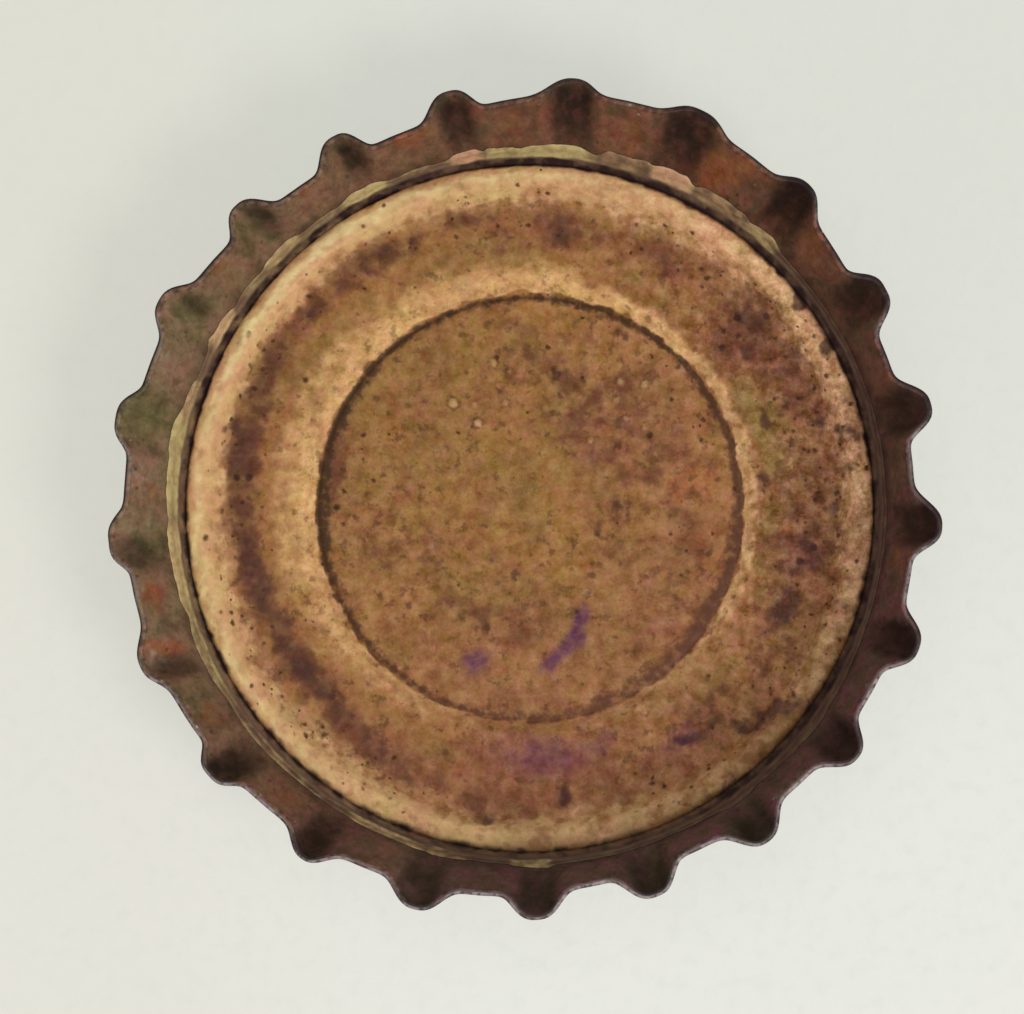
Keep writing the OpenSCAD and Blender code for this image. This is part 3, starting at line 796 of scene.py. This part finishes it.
class Surface:
    """A material under construction, with short calls for the nodes that it needs."""

    def __init__(self, name, rise=1.0):
        """rise below 1 draws the patterns out on steep walls, so that they look even from above."""
        self.material = bpy.data.materials.new(name)
        self.material.use_nodes = True
        self.tree = self.material.node_tree
        self.shader = self.tree.nodes["Principled BSDF"]
        place = self.node("ShaderNodeTexCoord").outputs["Object"]
        squeeze = self.node("ShaderNodeMapping", {"Vector": place, "Scale": (1.0, 1.0, rise)})
        self.place = squeeze.outputs[0]

    def node(self, kind, inputs=None, **settings):
        """A new node. Its inputs are named or numbered, and are values or other nodes' outputs."""
        made = self.tree.nodes.new(kind)
        for key, value in settings.items():
            setattr(made, key, value)
        for key, value in (inputs or {}).items():
            self.feed(made.inputs[key], value)
        return made

    def feed(self, socket, value):
        if isinstance(value, bpy.types.NodeSocket):
            self.tree.links.new(value, socket)
        else:
            socket.default_value = value

    def math(self, operation, a, b=0.0, c=0.0, clamp=False):
        inputs = {0: a, 1: b, 2: c}
        made = self.node("ShaderNodeMath", inputs, operation=operation, use_clamp=clamp)
        return made.outputs[0]

    def times(self, a, b):
        return self.math("MULTIPLY", a, b)

    def attribute(self, name):
        return self.node("ShaderNodeAttribute", attribute_name=name).outputs["Fac"]

    def moved(self, seed):
        shift = (seed * 0.05, seed * 0.035, seed * 0.065)
        return self.node("ShaderNodeMapping", {"Vector": self.place, "Location": shift}).outputs[0]

    def noise(self, size, detail, rough=0.55, seed=0):
        """Noise from 0 to 1 with features of that size in millimetres."""
        return self.node("ShaderNodeTexNoise", {
            "Vector": self.moved(seed), "Scale": 1 / (size * MM), "Detail": detail,
            "Roughness": rough,
        }).outputs["Fac"]

    def span(self, value, low, high, to_low=0.0, to_high=1.0):
        """Turns low into to_low and high into to_high, easing at both ends."""
        return self.node("ShaderNodeMapRange", {
            "Value": value, "From Min": low, "From Max": high, "To Min": to_low, "To Max": to_high,
        }, interpolation_type="SMOOTHSTEP").outputs[0]

    def blend(self, share, a, b):
        """Mixes two colours, each of them three screen values or another node's output."""
        a, b = (rgb(*tone) if isinstance(tone, tuple) else tone for tone in (a, b))
        return self.node("ShaderNodeMix", {0: share, 6: a, 7: b}, data_type="RGBA").outputs[2]

    def coats(self, base, *coats):
        """Lays coats over a colour, one after another. Each is a mask and a colour."""
        for share, tone in coats:
            base = self.blend(share, base, tone)
        return base

    def torn(self, mask, grain, amount, low=0.0, high=0.95):
        """A soft mask broken up by noise: half strength becomes patches over half the area."""
        lift = self.math("MULTIPLY_ADD", self.span(grain, 0.3, 0.7), amount, -amount / 2)
        lift = self.times(lift, self.span(mask, 0.0, 0.4))
        return self.span(self.math("ADD", mask, lift), low, high)

    def mark(self, name, grain, amount, share=1.0):
        """The mask of a mark that the mesh carries, broken up by noise."""
        return self.times(self.torn(self.attribute(name), grain, amount), share)

    def varied(self, base, light, tint, amount, turn):
        """Lightens and darkens a colour, and turns it to olive and to pink, with two noises."""
        swing = self.times(self.math("SUBTRACT", light, 0.5), amount)
        return self.node("ShaderNodeHueSaturation", {
            "Color": base,
            "Value": self.math("ADD", 1.0, swing),
            "Saturation": self.math("MULTIPLY_ADD", swing, -0.28, 1.0),
            "Hue": self.span(tint, 0.25, 0.75, 0.5 - turn, 0.5 + turn),
        }).outputs[0]

    def specks(self, spacing, density, size, seed):
        """Small dots: density from 0 to 1 says what share of the cells has one."""
        place = self.moved(seed)
        wobble = self.node("ShaderNodeTexNoise", {"Vector": place, "Scale": 2 / (spacing * MM)})
        shaken = self.node("ShaderNodeVectorMath", {
            0: wobble.outputs["Color"], 1: (0.4 * spacing * MM,) * 3, 2: place,
        }, operation="MULTIPLY_ADD").outputs[0]
        cells = self.node("ShaderNodeTexVoronoi", {"Vector": shaken, "Scale": 1 / (spacing * MM)})
        pick = self.node("ShaderNodeSeparateColor", {0: cells.outputs["Color"]})
        chosen = self.math("LESS_THAN", pick.outputs[0], density)
        reach = self.times(self.math("MULTIPLY_ADD", pick.outputs[1], 0.5, 0.5), size)
        gap = self.math("SUBTRACT", reach, cells.outputs["Distance"])
        return self.times(self.span(gap, 0.0, size * 0.6), chosen)

    def finish(self, base, roughness, height, depth, **fixed):
        """Feeds the shader. height is a bump field that stands depth millimetres tall."""
        bump = self.node("ShaderNodeBump", {"Height": height, "Distance": depth * MM})
        fixed.update(Base_Color=base, Roughness=roughness, Normal=bump.outputs[0])
        for key, value in fixed.items():
            self.feed(self.shader.inputs[key.replace("_", " ")], value)
        return self.material


def liner_material():
    s = Surface("liner_plastic")
    broad = s.noise(3.0, 3, seed=1)
    patch = s.noise(1.3, 4, 0.6, seed=2)
    cloud = s.noise(0.62, 3, 0.5, seed=3)
    blot = s.noise(0.30, 2, 0.5, seed=4)
    tint = s.noise(1.7, 4, 0.6, seed=7)
    either = s.span(tint, 0.3, 0.7)

    # aged plastic: golden brown, pinkish and olive by turns, and clean on the shoulder and bead; the
    # shoulder's pale band is partly a painted highlight
    gold = s.coats(
        s.blend(either, (215, 171, 108), (208, 158, 104)),
        (s.times(s.attribute("rosy"), 0.6), (212, 160, 118)))
    cream = s.coats(
        s.blend(either, (214, 180, 122), (214, 164, 118)),
        (s.times(s.attribute("pink"), s.span(patch, 0.35, 0.65, 0.3, 1.0)), (222, 158, 122)))
    base = s.coats(
        s.blend(either, (162, 116, 60), (155, 103, 64)),
        (s.span(broad, 0.42, 0.66, 0, 0.6), (140, 107, 54)),
        (s.times(s.attribute("rosy"), 0.5), (156, 104, 74)),
        (s.mark("olive", patch, 0.5, 0.85), (138, 111, 57)),
        (s.mark("reddish", patch, 0.5, 0.9), (138, 80, 60)),
        (s.mark("orange", patch, 0.6, 0.7), (172, 100, 50)),
        (s.mark("half", cloud, 0.6), (176, 130, 90)),
        # the shoulder's pale gold: clean plastic and partly a painted highlight
        (s.mark("gold", patch, 0.35), gold),
        (s.mark("cream", cloud, 0.8, 0.94), cream))

    # mottling everywhere, less on the clean bead
    clean = s.math("MAXIMUM", s.attribute("cream"), s.times(s.attribute("gold"), 0.35))
    for grain, low, high, share, tone in (
            (patch, 0.48, 0.7, 0.5, (118, 76, 44)),
            (cloud, 0.46, 0.74, 0.45, (110, 72, 40)),
            (s.noise(0.5, 4, 0.65, seed=21), 0.55, 0.67, 0.65, (92, 58, 36))):
        kept = s.math("MULTIPLY_ADD", clean, -0.7 * share, share)
        base = s.blend(s.times(s.span(grain, low, high), kept), base, tone)

    # stains from the faint to the black
    soot = s.blend(s.span(patch, 0.35, 0.65), (68, 40, 38), (86, 54, 38))
    uneven = s.times(s.span(cloud, 0.3, 0.62, 0.5, 1.0), s.span(blot, 0.3, 0.6, 0.7, 1.0))
    crowd = s.times(s.span(blot, 0.5, 0.68), s.attribute("mottled"))
    base = s.coats(
        base,
        # painted highlight along the bead
        (s.mark("painted_highlight", cloud, 0.3, 0.75), (240, 220, 160)),
        (s.mark("brown", cloud, 0.7, 0.85), (104, 62, 42)),
        (s.times(s.attribute("stain"), uneven), soot),
        (s.mark("dark", cloud, 0.7, 0.85), soot),
        (s.times(crowd, 0.4), (88, 52, 34)),
        (s.mark("blots", blot, 0.5, 0.75), (76, 46, 28)))
    for spacing, most, size, seed, tone in (
            (0.56, 0.60, 0.40, 5, (48, 24, 16)),
            (0.40, 0.50, 0.38, 8, (66, 34, 22)),
            (0.27, 0.30, 0.38, 6, (60, 34, 22))):
        density = s.math("MULTIPLY_ADD", s.attribute("speckled"), most, 0.02)
        base = s.blend(s.times(s.specks(spacing, density, size, seed), 0.85), base, tone)

    # painted highlights and shade on the blisters, and small changes of tone everywhere
    base = s.coats(
        base,
        (s.times(s.attribute("violet"), s.span(blot, 0.3, 0.6, 0.6, 0.85)), (84, 36, 84)),
        # painted shade round each blister
        (s.mark("blister_shade", blot, 0.8, 0.6), (84, 54, 34)),
        # painted highlight on each blister's top
        (s.mark("blister_highlight", blot, 0.5, 0.6), (198, 158, 112)))
    light = s.noise(0.55, 4, 0.78, seed=9)
    swing = s.times(s.attribute("grain"), 1.5)
    base = s.varied(base, light, s.noise(0.5, 3, 0.7, seed=10), swing, 0.013)

    # dirt and painted shade in the two creases, and the flash
    skin = s.coats(
        s.blend(s.span(tint, 0.35, 0.65), (124, 102, 72), (108, 82, 66)),
        (s.attribute("dull"), (90, 66, 57)),
        (s.attribute("faded"), (84, 59, 54)))
    pale = s.coats(
        s.blend(s.attribute("flash_pink"), (190, 172, 118), (206, 158, 126)),
        (s.span(blot, 0.42, 0.68, 0, 0.4), (136, 108, 74)))
    line = s.blend(s.attribute("ring_soft"), (60, 40, 26), (92, 55, 40))
    base = s.coats(
        base,
        # dirt and painted shade in the crease round the pad, spreading over the pad's edge
        (s.mark("ring_line", blot, 0.6, 0.9), line),
        (s.attribute("skin"), skin),
        (s.mark("flash", cloud, 0.5), pale),
        # dirt and painted shade in the crease at the bead's foot and on the bead's roll into it
        (s.torn(s.attribute("crease"), cloud, 0.35, 0.1, 0.85), (44, 27, 25)))

    # worn places are smoother and dirty creases are dull
    smoothed = s.math("MULTIPLY_ADD", s.attribute("cream"), -0.14, s.span(cloud, 0.3, 0.7, 0.45, 0.62))
    rough = s.math("MULTIPLY_ADD", s.attribute("crease"), 0.35, smoothed)
    height = s.math("ADD", s.times(cloud, 0.6), s.times(blot, 0.4))
    return s.finish(base, rough, height, 0.08, Specular_IOR_Level=0.12)


def tinplate_material():
    s = Surface("tinplate", rise=0.35)
    broad = s.noise(1.8, 3, seed=11)
    cloud = s.noise(0.7, 3, 0.55, seed=12)
    grain = s.noise(0.26, 2, 0.5, seed=13)
    inward = s.attribute("inside")
    height = s.attribute("height")

    # inside: brown lacquer, olive in places and rusting, with dirt and painted shade in the flutes'
    # pockets
    either = s.span(cloud, 0.36, 0.64)
    flecks = s.times(s.specks(0.32, 0.16, 0.24, 17), s.span(height, 0.5, 0.9))
    pocket_dirt_and_shade = s.times(s.attribute("dirt_and_shade"), s.span(cloud, 0.3, 0.6, 0.78, 1.0))
    inside = s.coats(
        s.blend(s.span(broad, 0.36, 0.64), (140, 124, 90), (150, 117, 92)),
        # purplish and darker: partly painted shade on the skirt's shaded side
        (s.attribute("plum_and_shade"), s.blend(either, (105, 67, 76), (86, 74, 65))),
        (s.attribute("warm"), s.blend(either, (132, 80, 62), (104, 76, 56))),
        (s.mark("olive", cloud, 0.7), (104, 98, 62)),
        (s.span(cloud, 0.46, 0.74, 0, 0.5), (82, 58, 50)),
        (s.span(grain, 0.5, 0.78, 0, 0.35), (78, 56, 46)),
        (s.mark("rust", cloud, 0.7, 0.75), (156, 90, 56)),
        (s.mark("grey", grain, 0.9, 0.6), (158, 144, 124)),
        (s.times(flecks, 0.6), (170, 154, 140)),
        # dirt and painted shade in the flutes' pockets
        (pocket_dirt_and_shade, s.blend(s.attribute("green"), (36, 19, 20), (38, 37, 28))),
        (s.times(s.specks(0.36, 0.2, 0.36, 15), 0.6), (48, 32, 28)))

    # outside: plain coat gone dull, rusty towards the rim
    rim_rust = s.math("ADD", s.span(height, 0.7, 1.0), s.span(grain, 0.55, 0.8))
    coat = s.coats(
        s.blend(s.span(broad, 0.3, 0.7), (150, 146, 138), (132, 126, 116)),
        (s.span(cloud, 0.55, 0.75, 0, 0.7), (112, 90, 70)),
        (s.math("MULTIPLY", rim_rust, s.span(cloud, 0.35, 0.6), clamp=True), (118, 74, 50)))

    # the cut edge between them: dark with rust and painted shade, with a painted highlight where it
    # faces one way
    fainter = s.times(s.span(inward, 0.2, 0.6), s.span(grain, 0.35, 0.65, 0.9, 0.4))
    middle = s.times(s.span(inward, 0.0, 0.1), s.span(inward, 0.75, 0.45))
    lit_edge = s.times(s.attribute("edge_highlight"), s.span(grain, 0.36, 0.6, 0.15, 0.85))
    flecks = s.times(s.specks(0.5, 0.16, 0.22, 16), s.attribute("edge"))
    base = s.coats(
        s.blend(s.math("GREATER_THAN", inward, 0.01), coat, inside),
        # dark rim: rust and painted shade
        (s.times(s.attribute("edge"), s.math("SUBTRACT", 1.0, fainter)), (38, 26, 30)),
        # painted highlight on the edge where it faces the light
        (s.times(middle, lit_edge), (152, 138, 138)),
        (s.times(flecks, 0.7), (184, 164, 150)))
    light = s.noise(0.5, 4, 0.8, seed=18)
    base = s.varied(base, light, s.noise(0.6, 3, 0.7, seed=19), 1.5, 0.018)

    rough = s.span(grain, 0.2, 0.8, 0.42, 0.66)
    bumps = s.math("ADD", s.times(cloud, 0.5), s.times(grain, 0.5))
    return s.finish(base, rough, bumps, 0.04, Metallic=0.1, Specular_IOR_Level=0.18)


def floor_material():
    """Pale board. The camera sees part of it at its plain colour, which softens the shadow."""
    s = Surface("floor")
    broad = s.noise(30.0, 2, seed=21)
    grain = s.noise(0.7, 3, seed=22)
    across = s.node("ShaderNodeSeparateXYZ", {0: s.place})
    # darker towards +Y and warmer towards -X: painted falloff of the light over the floor
    base = s.coats(
        s.blend(s.span(across.outputs[1], 0.016, -0.016), (220, 221, 212), (234, 234, 227)),
        (s.span(across.outputs[0], 0.0, -0.018, 0, 0.5), (226, 221, 208)),
        (s.span(broad, 0.3, 0.7, 0, 0.3), (222, 226, 216)),
        (s.span(grain, 0.45, 0.75, 0, 0.2), (214, 216, 208)))
    s.finish(base, 0.75, grain, 0.05, Specular_IOR_Level=0.2)
    glow = s.node("ShaderNodeEmission", {"Color": base})
    seen = s.node("ShaderNodeLightPath").outputs["Is Camera Ray"]
    both = s.node("ShaderNodeMixShader", {
        0: s.times(seen, FLOOR_GLOW), 1: s.shader.outputs[0], 2: glow.outputs[0],
    })
    s.feed(s.tree.nodes["Material Output"].inputs["Surface"], both.outputs[0])
    return s.material


# ---- stage, light and camera ----
def build_floor():
    bpy.ops.mesh.primitive_plane_add(size=1.6, location=(0, 0, -0.00002))
    floor = bpy.context.object
    floor.name = "floor"
    floor.data.materials.append(floor_material())


def aim(thing, target, up=Vector((0, 1, 0))):
    """Turns a lamp or camera to look at the target, with up towards the top of its view."""
    back = (thing.location - target).normalized()
    right = up.cross(back).normalized()
    matrix = Matrix((right, back.cross(right), back)).transposed()
    thing.rotation_euler = matrix.to_euler()


def add_lamp(name, direction, elevation, distance, size, share):
    """A round soft lamp that gives the floor this share of its full light."""
    turn, rise = math.radians(direction), math.radians(elevation)
    lamp = bpy.data.lights.new(name, "AREA")
    lamp.shape = "DISK"
    lamp.size = size
    lamp.energy = share * (math.pi * distance) ** 2 / math.sin(rise)
    thing = bpy.data.objects.new(name, lamp)
    bpy.context.scene.collection.objects.link(thing)
    flat = math.cos(rise)
    thing.location = distance * Vector((math.cos(turn) * flat, math.sin(turn) * flat, math.sin(rise)))
    aim(thing, Vector((0, 0, 0)), Vector((0, 0.2, 1)))


def add_lights():
    world = bpy.data.worlds.new("world")
    world.use_nodes = True
    bpy.context.scene.world = world
    back = world.node_tree.nodes["Background"]
    back.inputs["Color"].default_value = (1.0, 0.99, 0.97, 1.0)
    back.inputs["Strength"].default_value = WORLD_LIGHT
    add_lamp("key", direction=-42, elevation=50, distance=0.6, size=0.22, share=0.40)
    add_lamp("top", direction=120, elevation=78, distance=0.7, size=0.45, share=0.18)


def add_camera():
    camera = bpy.data.objects.new("camera", bpy.data.cameras.new("camera"))
    bpy.context.scene.collection.objects.link(camera)
    bpy.context.scene.camera = camera
    camera.data.lens = LENS
    camera.data.clip_start = 0.01
    away = Vector([math.sin(math.radians(tilt)) for tilt in CAMERA_TILT] + [1.0]).normalized()
    target = Vector((*CAMERA_AIM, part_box("crown_shell")[1].z))
    camera.location = target + CAMERA_DISTANCE * away
    aim(camera, target)


shell = build_shell()
shell.data.materials.append(tinplate_material())
liner = build_liner()
liner.data.materials.append(liner_material())
build_floor()
add_lights()
add_camera()

bpy.context.scene.view_settings.view_transform = "Standard"
